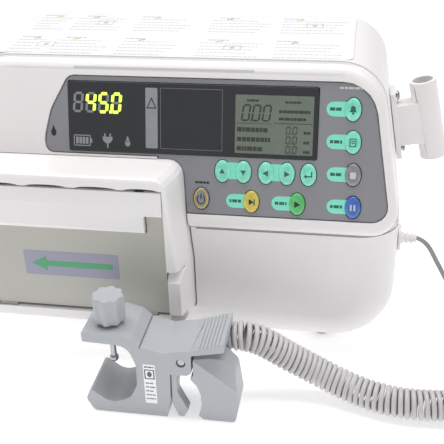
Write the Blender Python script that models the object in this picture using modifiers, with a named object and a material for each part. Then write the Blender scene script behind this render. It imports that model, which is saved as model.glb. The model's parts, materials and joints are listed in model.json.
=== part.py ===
"""Infusion pump with a drop sensor on a curly cord.

The pump stands on four rubber feet at z = 0 and faces -Y. Its front panel leans back, and a pump head with
a drop-forward door stands out of the lower left of the front. A drop sensor stands on the same surface in
front of it, on the end of a curly cord.

Dimensions are in millimetres, and MM turns them into metres.
"""

import math

import bmesh
import bpy
from mathutils import Matrix, Vector

MM = 0.001
GAP = 0.3  # clearance between neighbouring pieces

# Housing
BODY_X = -19.0  # middle of the housing
HALF_WIDTH = 108.0
ORIGIN_X = -7.6  # middle of the pump with its side holder; it becomes x = 0
SHELL_BOTTOM = 4.0
SHELL_TOP = 150.0
TOP_FALL = 0.052  # the top falls forward by this share
BACK_Y = 55.0
SPLIT_Y = -15.0  # joint between the rear shell and the front pieces
WALL = 2.6
TOP_RADIUS = 22.0
BOTTOM_RADIUS = 30.0
SIDE_LEAN = 0.168  # the sides lean inward above the waist by this share
WAIST_Z = 75.0

# Front panel: a plane that leans back from its foot
PANEL_Y = -38.0
PANEL_Z = 72.5
PANEL_LEAN = math.radians(14.0)
BEZEL_PROUD = 1.0
BEZEL_BOTTOM = -2.0
BEZEL_TOP = 75.5

# Lower front
LOWER_FRONT_Y = -35.0
LOWER_TOP_Z = 69.2
LOWER_FILLET = 19.5

# Pump head and door
HEAD_X0 = -117.0
HEAD_RIGHT = -8.8  # right side below the door's middle
HEAD_TAPER = 4.0  # the right side leans inward by this much towards the top
HEAD_CHAMFER = 2.8  # and its front corner is cut back by this much
HEAD_Z0, HEAD_Z1 = 23.0, 102.0
HEAD_FRONT_Y = -54.0
HEAD_BACK_Y = -27.0
DOOR_X0, DOOR_X1 = -112.6, -17.8
DOOR_Z0, DOOR_Z1 = 30.4, 95.4
DOOR_FACE_Y = -52.2
DOOR_BACK_Y = -46.3
HINGE_Y, HINGE_Z = -50.6, 28.8
HANDLE_Z0 = 74.8
HANDLE_NOTCH_X = -26.4
HANDLE_NOTCH_Z = 84.0
HANDLE_AXIS_Y, HANDLE_AXIS_Z = -51.9, 93.2
CAM_Y, CAM_Z = -19.5, 56.0
FINGER_PITCH = 8.6
FINGER_COUNT = 6

# Display and keys, in panel coordinates: x, and s up the panel from its foot
LENS = (-66.8, 49.6, 33.0, 65.4)
KEY_WIDTH, KEY_HEIGHT = 7.4, 10.6
KEYS = {
    "key_up": (6.6, 26.0),
    "key_down": (16.4, 26.0),
    "key_left": (26.8, 26.0),
    "key_right": (36.4, 26.0),
    "key_enter": (46.2, 26.0),
    "key_power": (-3.2, 12.6),
    "key_yellow": (20.3, 12.2),
    "key_green": (41.5, 12.1),
    "key_bell": (64.8, 56.2),
    "key_page": (65.4, 41.6),
    "key_stop": (66.2, 26.8),
    "key_blue": (66.8, 11.9),
}

# Drop sensor
SENSOR_FRONT_Y, SENSOR_BACK_Y = -91.0, -66.0
KNOB_X, KNOB_Y = -37.6, -81.5
KNOB_Z0, KNOB_Z1 = 45.7, 58.6
PIVOT_X, PIVOT_Z = -4.0, 31.0

# Cord
CORD_DIAMETER = 2.4
COIL_DIAMETER = 14.5

PANEL = Matrix.Translation(Vector((0, PANEL_Y, PANEL_Z)) * MM) @ Matrix.Rotation(
    math.radians(90) - PANEL_LEAN, 4, "X"
)
FRONT = Matrix.Rotation(math.radians(90), 4, "X")  # local x, y, z to world X, Z, -Y
SIDE = Matrix(((0, 0, 1, 0), (1, 0, 0, 0), (0, 1, 0, 0), (0, 0, 0, 1)))  # to world Y, Z, X
LEVEL = Matrix.Identity(4)

for old in list(bpy.data.objects):
    bpy.data.objects.remove(old, do_unlink=True)

PARTS = bpy.data.collections.new("infusion_pump")
CUTTERS = bpy.data.collections.new("cutters")
bpy.context.scene.collection.children.link(PARTS)
bpy.context.scene.collection.children.link(CUTTERS)


# Materials


def material(name, colour, roughness, metallic=0.0):
    made = bpy.data.materials.new(name)
    made.use_nodes = True
    shader = made.node_tree.nodes["Principled BSDF"]
    shader.inputs["Base Color"].default_value = (*colour, 1.0)
    shader.inputs["Roughness"].default_value = roughness
    shader.inputs["Metallic"].default_value = metallic
    return made


WHITE = material("housing_white", (0.82, 0.81, 0.80), 0.35)
BEIGE = material("door_beige", (0.47, 0.47, 0.42), 0.45)
GREY = material("panel_grey", (0.27, 0.27, 0.29), 0.45)
DARK = material("lens_dark", (0.03, 0.035, 0.04), 0.1)
MINT = material("key_mint", (0.22, 0.72, 0.52), 0.35)
YELLOW = material("key_yellow", (0.68, 0.58, 0.13), 0.3)
GREEN = material("key_green", (0.16, 0.62, 0.24), 0.3)
BLUE = material("key_blue", (0.08, 0.19, 0.52), 0.3)
CLEAR = material("key_clear", (0.3, 0.3, 0.33), 0.3)
SENSOR = material("sensor_grey", (0.42, 0.42, 0.44), 0.45)
CORD = material("cord_grey", (0.55, 0.54, 0.54), 0.5)
STEEL = material("steel", (0.6, 0.6, 0.6), 0.3, 1.0)
RUBBER = material("foot_rubber", (0.6, 0.6, 0.58), 0.8)
BOARD = material("circuit_board", (0.03, 0.2, 0.08), 0.5)
BLACK = material("black_plastic", (0.03, 0.03, 0.03), 0.5)
LCD = material("lcd_grey", (0.2, 0.24, 0.19), 0.3)


# Shape tools


def place(name, mesh, look, matrix=LEVEL):
    """A part: its mesh shaded smooth except at corners."""
    made = bpy.data.objects.new(name, mesh)
    made.matrix_world = matrix
    mesh.shade_smooth()
    mesh.set_sharp_from_angle(angle=math.radians(35))
    mesh.materials.append(look)
    PARTS.objects.link(made)
    return made


def as_cutter(made):
    """Turns a part into a hidden cutter."""
    PARTS.objects.unlink(made)
    CUTTERS.objects.link(made)
    made.hide_render = True
    made.display_type = "WIRE"
    return made


def boolean(target, tool, operation):
    as_cutter(tool)
    step = target.modifiers.new(operation.lower() + "_" + tool.name, "BOOLEAN")
    step.object = tool
    step.operation = operation
    step.solver = "EXACT"
    return target


def cut(target, *tools):
    for tool in tools:
        boolean(target, tool, "DIFFERENCE")
    return target


def join(target, *tools):
    for tool in tools:
        boolean(target, tool, "UNION")
    return target


def soften(made, width, segments=1, angle=40):
    """Rounds the corners that are sharper than angle."""
    step = made.modifiers.new("bevel", "BEVEL")
    step.width = width * MM
    step.segments = segments
    step.limit_method = "ANGLE"
    step.angle_limit = math.radians(angle)
    step.use_clamp_overlap = True
    return made


def box(name, look, x, y, z):
    """A box from three (low, high) pairs, with its origin in its middle."""
    mesh = bpy.data.meshes.new(name)
    bm = bmesh.new()
    bmesh.ops.create_cube(bm, size=1.0)
    size = Vector([pair[1] - pair[0] for pair in (x, y, z)]) * MM
    bmesh.ops.scale(bm, vec=size, verts=bm.verts)
    bm.to_mesh(mesh)
    bm.free()
    middle = Vector([(pair[0] + pair[1]) / 2 for pair in (x, y, z)]) * MM
    return place(name, mesh, look, Matrix.Translation(middle))


AXES = {
    "X": Matrix.Rotation(math.radians(90), 4, "Y"),
    "Y": Matrix.Rotation(math.radians(90), 4, "X"),
    "Z": Matrix.Identity(4),
}


def cylinder(name, look, middle, length, radius, axis="Z", sides=24, top=None):
    """A cylinder or a cone frustum around one axis."""
    mesh = bpy.data.meshes.new(name)
    bm = bmesh.new()
    bmesh.ops.create_cone(
        bm,
        cap_ends=True,
        segments=sides,
        radius1=radius * MM,
        radius2=(radius if top is None else top) * MM,
        depth=length * MM,
    )
    bm.to_mesh(mesh)
    bm.free()
    return place(name, mesh, look, Matrix.Translation(Vector(middle) * MM) @ AXES[axis])


def rounded(corners, steps=5):
    """An outline from (x, y, radius) corners, each turned by an arc."""
    points = []
    for i, (x, y, radius) in enumerate(corners):
        here = Vector((x, y))
        back = Vector(corners[i - 1][:2]) - here
        ahead = Vector(corners[(i + 1) % len(corners)][:2]) - here
        if radius <= 0:
            points.append(here)
            continue
        half = back.angle(ahead) / 2
        reach = min(radius / math.tan(half), 0.49 * back.length, 0.49 * ahead.length)
        radius = reach * math.tan(half)
        centre = here + (back.normalized() + ahead.normalized()).normalized() * radius / math.sin(half)
        start = here + back.normalized() * reach - centre
        end = here + ahead.normalized() * reach - centre
        turn = start.angle_signed(end)
        for k in range(steps + 1):
            points.append(centre + Matrix.Rotation(-turn * k / steps, 2) @ start)
    return [(p.x, p.y) for p in points]


def inset(corners, by):
    """The outline's corners moved inward (or outward) by a distance, its radii with them."""
    area = sum(
        a[0] * b[1] - b[0] * a[1] for a, b in zip(corners, corners[1:] + corners[:1])
    )
    side = 1 if area > 0 else -1
    moved = []
    for i, (x, y, radius) in enumerate(corners):
        here = Vector((x, y))
        before = (here - Vector(corners[i - 1][:2])).normalized()
        after = (Vector(corners[(i + 1) % len(corners)][:2]) - here).normalized()
        in_before = Vector((-before.y, before.x)) * side
        in_after = Vector((-after.y, after.x)) * side
        along = (in_before + in_after).normalized()
        shift = along * by / max(0.3, along.dot(in_before))
        inner = before.cross(after) * side > 0
        moved.append((x + shift.x, y + shift.y, max(0.0, radius + (-by if inner else by))))
    return moved


def plate(name, look, outline, low, high, frame=LEVEL):
    """A flat outline filled and made thick from low to high along the frame's third axis."""
    curve = bpy.data.curves.new(name, "CURVE")
    curve.dimensions = "2D"
    curve.fill_mode = "BOTH"
    curve.extrude = (high - low) / 2 * MM
    spline = curve.splines.new("POLY")
    spline.points.add(len(outline) - 1)
    for point, (x, y) in zip(spline.points, outline):
        point.co = (x * MM, y * MM, 0, 1)
    spline.use_cyclic_u = True
    flat = bpy.data.objects.new(name + "_outline", curve)
    PARTS.objects.link(flat)
    bpy.context.view_layer.update()
    mesh = bpy.data.meshes.new_from_object(
        flat.evaluated_get(bpy.context.evaluated_depsgraph_get())
    )
    bm = bmesh.new()
    bm.from_mesh(mesh)
    bmesh.ops.remove_doubles(bm, verts=bm.verts, dist=1e-6)
    bmesh.ops.recalc_face_normals(bm, faces=bm.faces)
    bm.to_mesh(mesh)
    bm.free()
    mesh.name = name
    bpy.data.objects.remove(flat, do_unlink=True)
    bpy.data.curves.remove(curve)
    return place(name, mesh, look, frame @ Matrix.Translation((0, 0, (low + high) / 2 * MM)))


def loft(name, look, rings, frame=LEVEL):
    """A solid through rings of points that match one to one, closed by a flat face at each end."""
    mesh = bpy.data.meshes.new(name)
    bm = bmesh.new()
    loops = [[bm.verts.new(Vector(p) * MM) for p in ring] for ring in rings]
    for a, b in zip(loops, loops[1:]):
        for i in range(len(a)):
            j = (i + 1) % len(a)
            bm.faces.new((a[i], a[j], b[j], b[i]))
    bm.faces.new(list(reversed(loops[0])))
    bm.faces.new(loops[-1])
    bmesh.ops.recalc_face_normals(bm, faces=bm.faces)
    bm.to_mesh(mesh)
    bm.free()
    return place(name, mesh, look, frame)


def turned(name, look, profile, frame, sides=24):
    """A solid of revolution around the frame's third axis; the profile is (radius, height), top to bottom."""
    mesh = bpy.data.meshes.new(name)
    bm = bmesh.new()
    verts = [bm.verts.new((r * MM, 0, h * MM)) for r, h in profile]
    for a, b in zip(verts, verts[1:]):
        bm.edges.new((a, b))
    bm.to_mesh(mesh)
    bm.free()
    made = place(name, mesh, look, frame)
    step = made.modifiers.new("screw", "SCREW")
    step.axis = "Z"
    step.steps = sides
    step.render_steps = sides
    step.use_merge_vertices = True
    step.merge_threshold = 0.00001
    return made


def tube(name, look, points, diameter, resolution=2):
    """A round solid along a list of points."""
    curve = bpy.data.curves.new(name, "CURVE")
    curve.dimensions = "3D"
    curve.bevel_depth = diameter / 2 * MM
    curve.bevel_resolution = resolution
    curve.use_fill_caps = True
    spline = curve.splines.new("POLY")
    spline.points.add(len(points) - 1)
    for point, place_at in zip(spline.points, points):
        point.co = (*(Vector(place_at) * MM), 1)
    made = bpy.data.objects.new(name, curve)
    curve.materials.append(look)
    PARTS.objects.link(made)
    return made


def arc(centre, radius, start, end, steps):
    """Points on an arc, in degrees."""
    turns = [math.radians(start + (end - start) * k / steps) for k in range(steps + 1)]
    return [(centre[0] + radius * math.cos(t), centre[1] + radius * math.sin(t)) for t in turns]


def smooth_route(points, spacing):
    """Points about spacing apart on a Catmull-Rom curve through the given ones."""
    knots = [Vector(p) for p in points]
    knots = [2 * knots[0] - knots[1]] + knots + [2 * knots[-1] - knots[-2]]
    fine = []
    for a, b, c, d in zip(knots, knots[1:], knots[2:], knots[3:]):
        for k in range(24):
            t = k / 24
            fine.append(
                0.5 * (2 * b + (c - a) * t + (2 * a - 5 * b + 4 * c - d) * t**2 + (3 * b - a - 3 * c + d) * t**3)
            )
    fine.append(knots[-2])
    lengths = [0.0]
    for a, b in zip(fine, fine[1:]):
        lengths.append(lengths[-1] + (b - a).length)
    count = max(2, round(lengths[-1] / spacing))
    route, i = [], 0
    for k in range(count + 1):
        want = lengths[-1] * k / count
        while i < len(fine) - 2 and lengths[i + 1] < want:
            i += 1
        share = (want - lengths[i]) / max(lengths[i + 1] - lengths[i], 1e-9)
        route.append(fine[i].lerp(fine[i + 1], min(1.0, share)))
    return route


# Housing


def section(top, by=0.0, wider=0.0, roof=None):
    """The housing's cross-section in X and Z, moved inward by a distance. With a roof it stops level there."""
    lean = math.atan(SIDE_LEAN)
    half = HALF_WIDTH + wider
    arc_z = top - TOP_RADIUS
    arc_x = half - SIDE_LEAN * (arc_z - WAIST_Z) - TOP_RADIUS / math.cos(lean)
    right = arc(
        (half - BOTTOM_RADIUS, SHELL_BOTTOM + BOTTOM_RADIUS), BOTTOM_RADIUS - by, -90, 0, 8
    )
    right.append((half - by, (roof or WAIST_Z) if roof else WAIST_Z - 10))
    if roof is None:
        right.append((half - by - 0.9, WAIST_Z + 5))
        right += arc((arc_x, arc_z), TOP_RADIUS - by, math.degrees(lean), 90, 8)
    left = [(-x, z) for x, z in reversed(right)]
    return [(BODY_X + x, z) for x, z in right + left]


def housing_top(y):
    return SHELL_TOP - TOP_FALL * (BACK_Y - y)


def make_rear_shell():
    def ring(y, by):
        return [(x, y, z) for x, z in section(housing_top(y), by)]

    shell = loft(
        "rear_shell",
        WHITE,
        [ring(SPLIT_Y, 0), ring(BACK_Y - 6, 0), ring(BACK_Y - 2.5, 1.0), ring(BACK_Y - 0.7, 3.0), ring(BACK_Y, 6.0)],
    )
    hollow = loft(
        "rear_hollow",
        WHITE,
        [ring(SPLIT_Y - 1, WALL), ring(BACK_Y - 8, WALL), ring(BACK_Y - WALL, WALL + 5)],
    )
    inlet_hole = box("inlet_hole", WHITE, (-70.3, -41.7), (40, 60), (29.7, 48.3))
    gland_hole = cylinder("gland_hole", WHITE, (88, -8, 55), 20, 2.6, "X")
    cut(shell, hollow, inlet_hole, gland_hole)
    for k in range(6):
        slot = box(f"vent_{k}", WHITE, (10 + 8 * k, 13 + 8 * k), (40, 60), (26, 50))
        cut(shell, slot)
    return shell


def make_lower_cover():
    """The lower front, with a wide rounding to its sides and bottom, open behind and closed by a deck on top."""

    def ring(y, by, roof):
        return [(x, y, z) for x, z in section(0, by, roof=roof)]

    def fillet(radius, depth, base, roof):
        rings = []
        for k in range(8):
            a = math.radians(90 * k / 7)
            y = LOWER_FRONT_Y + depth + radius * (1 - math.cos(a))
            rings.append(ring(y, base + radius * (1 - math.sin(a)), roof))
        return rings

    cover = loft("lower_front_cover", WHITE, fillet(LOWER_FILLET, 0, 0, LOWER_TOP_Z) + [ring(SPLIT_Y - GAP, 0, LOWER_TOP_Z)])
    deck = LOWER_TOP_Z - WALL
    hollow = loft("lower_hollow", WHITE, fillet(LOWER_FILLET - WALL, WALL, WALL, deck) + [ring(SPLIT_Y + 2, WALL, deck)])
    cut(cover, hollow)
    for name, side in (("left", -1), ("right", 1)):
        outline = [(90, 67), (107.6, 67), (107.6, 75), (106.5, 82.5), (104.0, 84.5), (90, 84.5)]
        ear = plate(f"ear_{name}", WHITE, [(BODY_X + side * x, z) for x, z in outline][::side], 15.3, 17.7, FRONT)
        clear = [(x, PANEL_Z + s * math.cos(PANEL_LEAN)) for x, s in bezel_corners(-0.6)]
        cut(ear, loft(f"ear_clear_{name}", WHITE, [[(x, y, z) for x, z in clear] for y in (-30, 0)]))
        join(cover, ear)
    return cut(cover, head_mouth("head_mouth_low"))


def bezel_corners(by=0.0):
    """The bezel's outline on the panel plane, as rings that match one to one."""
    lean = math.atan(SIDE_LEAN)
    half = HALF_WIDTH - 2.0
    low, high = BEZEL_BOTTOM + 12.0, BEZEL_TOP - TOP_RADIUS

    def centre(s, radius):
        return half - SIDE_LEAN * (s - 12.9) - radius / math.cos(lean)

    right = arc((centre(low, 12.0), low), 12.0 - by, -90, math.degrees(lean), 7)
    right += arc((centre(high, TOP_RADIUS), high), TOP_RADIUS - by, math.degrees(lean), 90, 9)
    left = [(-x, s) for x, s in reversed(right)]
    return [(BODY_X + x, s) for x, s in right + left]


def make_bezel():
    """The front shell round the panel: a leaning face with a soft rim, open behind."""
    sin, cos = math.sin(PANEL_LEAN), math.cos(PANEL_LEAN)

    def leaning(by, h):
        return [
            (x, PANEL_Y + s * sin - h * cos, PANEL_Z + s * cos + h * sin) for x, s in bezel_corners(by)
        ]

    def upright(by, y):
        return [(x, y, PANEL_Z + s * cos) for x, s in bezel_corners(by)]

    rim = [(6.0, 1.0), (4.2, 0.9), (2.2, 0.3), (0.8, -1.0), (0.15, -2.4), (0.0, -4.0)]
    shell = loft(
        "front_bezel",
        WHITE,
        [leaning(by, h) for by, h in rim] + [upright(0, SPLIT_Y - GAP)],
    )
    hollow = loft("bezel_hollow", WHITE, [leaning(WALL, -WALL), upright(WALL, SPLIT_Y + 2)])
    recess = plate("panel_recess", GREY, rounded(inset(PANEL_OUTLINE, -GAP)), -1.6, 6, PANEL)
    window = plate("panel_window", GREY, rounded(inset(PANEL_OUTLINE, 0.8)), -8, 6, PANEL)
    return cut(shell, hollow, recess, window, head_mouth("head_mouth_high"))


PANEL_OUTLINE = [
    (-24.0, 5.2, 0.0),
    (83.6, 5.2, 7.0),
    (73.2, 68.0, 16.0),
    (-66.5, 68.0, 5.0),
    (-75.5, 52.0, 24.0),
    (-79.0, 38.0, 14.0),
    (-78.0, 31.7, 4.0),
    (-24.0, 31.7, 0.0),
]


# Panel, display and keys


def oval(x, s, width, height, sides=16):
    turns = [2 * math.pi * k / sides for k in range(sides)]
    return [(x + width / 2 * math.cos(t), s + height / 2 * math.sin(t)) for t in turns]


def make_panel():
    panel = plate("keypad_panel", GREY, rounded(inset(PANEL_OUTLINE, GAP)), -1.3, 0.3, PANEL)
    x0, x1, s0, s1 = LENS
    edge = GAP
    corners = [(x0 - edge, s0 - edge, 1), (x1 + edge, s0 - edge, 1), (x1 + edge, s1 + edge, 1), (x0 - edge, s1 + edge, 1)]
    cut(panel, plate("lens_hole", GREY, rounded(corners, 2), -4, 4, PANEL))
    for name, (x, s) in KEYS.items():
        hole = oval(x, s, KEY_WIDTH + 2 * GAP, KEY_HEIGHT + 2 * GAP)
        cut(panel, plate(name + "_hole", GREY, hole, -4, 4, PANEL))
    return cut(panel, head_mouth("head_mouth_panel"))


def make_display():
    x0, x1, s0, s1 = LENS
    corners = [(x0, s0, 1), (x1, s0, 1), (x1, s1, 1), (x0, s1, 1)]
    plate("display_lens", DARK, rounded(corners, 2), -1.3, 0.7, PANEL)
    plate("led_module", BLACK, rounded([(-65, 36, 0), (-26, 36, 0), (-26, 63.5, 0), (-65, 63.5, 0)]), -8, -1.7, PANEL)
    plate("lcd_module", LCD, rounded([(10, 34.2, 0), (49, 34.2, 0), (49, 64, 0), (10, 64, 0)]), -7, -1.7, PANEL)
    plate("main_board", BOARD, rounded([(-68, 34.8, 1), (-2, 34.8, 1), (-2, 9, 1), (74, 9, 1), (68, 64, 1), (-68, 64, 1)]), -10.2, -8.6, PANEL)


KEY_LOOKS = {
    "key_power": CLEAR,
    "key_yellow": YELLOW,
    "key_green": GREEN,
    "key_blue": BLUE,
    "key_stop": CLEAR,
}


def make_keys():
    """Each key is an oval cap with a rounded rim, and its origin is where its cap meets the panel."""
    for name, (x, s) in KEYS.items():
        at = PANEL @ Matrix.Translation(Vector((x, s, 0)) * MM)
        rings = [(1.0, -5.5), (1.0, 0.5), (0.93, 1.1), (0.72, 1.5)]
        shapes = [
            [(px * k, py * k, h) for px, py in oval(0, 0, KEY_WIDTH, KEY_HEIGHT)] for k, h in rings
        ]
        loft(name, KEY_LOOKS.get(name, MINT), shapes, at)


# Pump head and door


def head_outline(by=0.0, right=0.0):
    corners = [
        (HEAD_X0, HEAD_Z0, 3.0),
        (HEAD_RIGHT + right, HEAD_Z0, 3.0),
        (HEAD_RIGHT + right, 52.0, 30.0),
        (HEAD_RIGHT - HEAD_TAPER + right, HEAD_Z1, 7.0),
        (HEAD_X0, HEAD_Z1, 4.0),
    ]
    return rounded(inset(corners, by), 4)


def head_mouth(name):
    """The hole for the pump head, cut straight back through the front."""
    return plate(name, WHITE, head_outline(-GAP, 0.6), 0, 80, FRONT)


def make_head():
    """The frame of the pump head: a thick-walled box with a pocket for the door and a window for the fingers."""
    profile = [
        (HEAD_FRONT_Y, 1.7, -HEAD_CHAMFER),
        (HEAD_FRONT_Y + 0.5, 0.7, -HEAD_CHAMFER),
        (HEAD_FRONT_Y + 1.5, 0.1, -HEAD_CHAMFER),
        (HEAD_FRONT_Y + 3.0, 0.0, 0.3 - HEAD_CHAMFER),
        (-41.0, 0.0, 0.0),
        (HEAD_BACK_Y, 0.0, 0.6),
    ]
    frame = loft(
        "door_frame",
        WHITE,
        [[(x, y, z) for x, z in head_outline(by, right)] for y, by, right in profile],
    )
    pocket = box("door_pocket", WHITE, (DOOR_X0 - 0.5, DOOR_X1 + GAP), (-60, -38), (29.1, DOOR_Z1 + 0.85))
    hollow = box("head_hollow", WHITE, (HEAD_X0 + 3, HEAD_RIGHT - 7), (-35, 0), (HEAD_Z0 + 3, HEAD_Z1 - 3))
    window = box("finger_window", WHITE, (-88.3, -31.7), (-45, 0), (47.7, 64.3))
    notch = box("latch_notch", WHITE, (DOOR_X1 + GAP - 0.01, 0), (-60, -46), (24.2, 54.4))
    pin = cylinder("hinge_bore", WHITE, ((DOOR_X0 + DOOR_X1) / 2, HINGE_Y, HINGE_Z), 99, 1.15, "X", 16)
    cut(frame, pocket, hollow, window, notch, pin)
    for k, x in enumerate(KNUCKLES):
        cut(frame, box(f"hinge_slot_{k}", WHITE, (x - 4.9, x + 4.9), (-53.1, -46), (26.2, 31)))
    for k, (x, width) in enumerate(((-95, 20.6), (-71.6, 20.6), (-48.1, 20.6), (-27.0, 16.6))):
        dip = plate(f"finger_dip_{k}", WHITE, oval(x, DOOR_Z1 + 0.6, width, 2.4), 47, 60, FRONT)
        cut(frame, dip)
    return frame


KNUCKLES = (-100.0, -28.0)


def make_latch():
    """The door's release: it slides down the right-hand post, under the thumb ledge on its top."""
    latch = box("door_latch", WHITE, (-17.2, -8.6), (-54.6, -46.3), (30.6, 53.6))
    ledge = plate("latch_ledge", WHITE, [(-60, 43.4), (-48.5, 54.9), (-48.5, 60), (-60, 60)], -30, 0, SIDE)
    corner = plate("latch_corner", WHITE, [(-10.6, -60), (-4, -60), (-4, -44), (-8.3, -44), (-11.4, -55.2)], 20, 110, LEVEL)
    soften(latch, 0.5, 1)
    return cut(latch, corner, ledge)


def make_door():
    cover = box("door_cover", BEIGE, (DOOR_X0, DOOR_X1), (DOOR_FACE_Y, DOOR_BACK_Y), (DOOR_Z0, DOOR_Z1))
    shelf = [
        (DOOR_X0 - 1, HANDLE_Z0 - 0.6),
        (HANDLE_NOTCH_X + 0.6, HANDLE_Z0 - 0.6),
        (HANDLE_NOTCH_X + 0.6, HANDLE_NOTCH_Z - 0.6),
        (DOOR_X1 + 1, HANDLE_NOTCH_Z - 0.6),
        (DOOR_X1 + 1, DOOR_Z1 + 1),
        (DOOR_X0 - 1, DOOR_Z1 + 1),
    ]
    cut(cover, plate("handle_shelf", BEIGE, shelf, 49.3, 60, FRONT))
    middle = (DOOR_X0 + DOOR_X1) / 2
    for k, x in enumerate(KNUCKLES):
        barrel = cylinder(f"knuckle_{k}", BEIGE, (x, HINGE_Y, HINGE_Z), 9, 2.0, "X", 16)
        neck = box(f"knuckle_neck_{k}", BEIGE, (x - 4.5, x + 4.5), (-51.8, -49.2), (28.8, 31.5))
        join(cover, barrel, neck)
        lug = box(f"handle_lug_{k}", BEIGE, (x - 2, x + 2), (-53.0, -48), (92.1, 94.3))
        join(cover, lug)
    hinge_bore = cylinder("cover_hinge_bore", BEIGE, (middle, HINGE_Y, HINGE_Z), 110, 1.15, "X", 16)
    handle_bore = cylinder("cover_handle_bore", BEIGE, (middle, HANDLE_AXIS_Y, HANDLE_AXIS_Z), 94, 0.75, "X", 12)
    cut(cover, hinge_bore, handle_bore)
    box("door_platen", STEEL, (-86, -34), (-45.9, -44.9), (51, 61))
    cylinder("door_hinge_pin", STEEL, (middle, HINGE_Y, HINGE_Z), 95, 0.85, "X", 16)
    cylinder("handle_pin", STEEL, (middle, HANDLE_AXIS_Y, HANDLE_AXIS_Z), 84, 0.6, "X", 12)


def make_handle():
    """The light band across the door's top: its lower edge is pulled forward to free the door."""
    outline = [
        (DOOR_X0, HANDLE_Z0, 0.4),
        (HANDLE_NOTCH_X, HANDLE_Z0, 0.4),
        (HANDLE_NOTCH_X, HANDLE_NOTCH_Z, 0.4),
        (DOOR_X1, HANDLE_NOTCH_Z, 0.4),
        (DOOR_X1, DOOR_Z1, 0.4),
        (DOOR_X0, DOOR_Z1, 0.4),
    ]
    band = plate("door_handle", WHITE, rounded(outline, 2), 50.3, 1 - HEAD_FRONT_Y, FRONT)
    for k, x in enumerate(KNUCKLES):
        cut(band, box(f"lug_pocket_{k}", WHITE, (x - 2.4, x + 2.4), (-53.6, -49), (90.8, 95.0)))
        cut(band, box(f"lug_slot_{k}", WHITE, (x - 2.4, x + 2.4), (-53.1, -49), (94.0, 97)))
    crown = plate("band_crown", WHITE, [(-60, 88.6), (-55.05, 88.6), (-53.5, 97), (-60, 97)], -130, 0, SIDE)
    lip = plate("band_lip", WHITE, [(-60, 76.8), (-55.05, 76.8), (-53.8, 74.7), (-53.8, 70), (-60, 70)], -130, 0, SIDE)
    bore = cylinder("band_bore", WHITE, ((DOOR_X0 + DOOR_X1) / 2, HANDLE_AXIS_Y, HANDLE_AXIS_Z), 85, 0.95, "X", 12)
    return cut(band, crown, lip, bore)


def finger_x(k):
    return -59.7 + (k - (FINGER_COUNT - 1) / 2) * FINGER_PITCH


def make_mechanism():
    """Camshaft, fingers, drive belt and motor behind the door."""
    block = box("finger_block", BLACK, (-88, -32), (-42.5, -29), (48, 64))
    shaft = cylinder("camshaft", STEEL, (-59.7, CAM_Y, CAM_Z), 74, 2.0, "X", 16)
    for k in range(FINGER_COUNT):
        x, phase = finger_x(k), 2 * math.pi * k / FINGER_COUNT
        cut(block, box(f"finger_slot_{k}", BLACK, (x - 3.3, x + 3.3), (-50, -20), (50.7, 61.3)))
        back = 0.8 * (1 - math.cos(phase))
        finger = box(f"finger_{k + 1}", WHITE, (x - 3, x + 3), (-44.4 + back, -27.6 + back), (51, 61))
        soften(finger, 0.8, 1)
        cam = cylinder(
            f"cam_{k}", STEEL, (x, CAM_Y - 0.8 * math.cos(phase), CAM_Z + 0.8 * math.sin(phase)), 5, 5.2, "X", 16
        )
        join(shaft, cam)
    for name, x in (("bearing_left", -91.5), ("bearing_right", -29.0)):
        bearing = box(name, BLACK, (x - 2, x + 2), (-26, -13), (49, 63))
        cut(bearing, cylinder(name + "_bore", BLACK, (x, CAM_Y, CAM_Z), 10, 2.1, "X", 16))
    pulley = turned(
        "cam_pulley",
        BLACK,
        [(2.3, 4), (9, 4), (9, 3.2), (8, 3.2), (8, -3.2), (9, -3.2), (9, -4), (2.3, -4), (2.3, 4)],
        Matrix.Translation(Vector((-24.6 + 4.5, CAM_Y, CAM_Z)) * MM) @ AXES["X"],
        18,
    )
    motor_at = (-20.1, 4.5, CAM_Z)
    turned(
        "motor_pulley",
        BLACK,
        [(0, 4), (5, 4), (5, 3.2), (4, 3.2), (4, -3.2), (5, -3.2), (5, -4), (1.5, -4), (1.5, -9), (0, -9)],
        Matrix.Translation(Vector(motor_at) * MM) @ AXES["X"],
        18,
    )
    motor = cylinder("drive_motor", STEEL, (-45.2, motor_at[1], CAM_Z), 40, 13, "X", 24)
    cut(motor, cylinder("motor_bore", STEEL, (-27, motor_at[1], CAM_Z), 10, 1.8, "X", 16))
    centre, reach = (CAM_Y + motor_at[1]) / 2, (motor_at[1] - CAM_Y) / 2
    tilt = math.degrees(math.asin((8 - 4) / (2 * reach)))

    def loop(extra):
        big = arc((centre - reach, CAM_Z), 8.3 + extra, 90 - tilt, 270 + tilt, 14)
        return big + arc((centre + reach, CAM_Z), 4.3 + extra, -90 + tilt, 90 - tilt, 8)

    belt = plate("drive_belt", BLACK, loop(0.9), -23.0, -17.2, SIDE)
    cut(belt, plate("belt_inside", BLACK, loop(0.0), -30, -10, SIDE))
    detector = box("air_detector", BLACK, (-28.5, -21), (-44.5, -38.3), (47, 65))
    cut(detector, box("detector_slot", BLACK, (-30, -20), (-50, -41), (53.6, 58.4)))
    return pulley


def make_insides():
    box("battery_pack", BLUE, (0, 66), (-2, 26), (12, 44))
    inlet = box("mains_inlet", BLACK, (-70, -42), (34, 54.4), (30, 48))
    cut(inlet, box("inlet_well", BLACK, (-66, -46), (46, 60), (34, 44)))


# What is fixed outside


def make_feet():
    for name, x, y in (
        ("foot_front_left", -76, -13.5),
        ("foot_front_right", 54, -13.5),
        ("foot_rear_left", -76, 38),
        ("foot_rear_right", 54, 38),
    ):
        at = Matrix.Translation(Vector((x, y, 0)) * MM)
        profile = [(0, 3.7), (5.0, 3.7), (5.0, 1.6), (4.4, 0.5), (3.4, 0), (0, 0)]
        turned(name, RUBBER, profile, at, 16)


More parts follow.
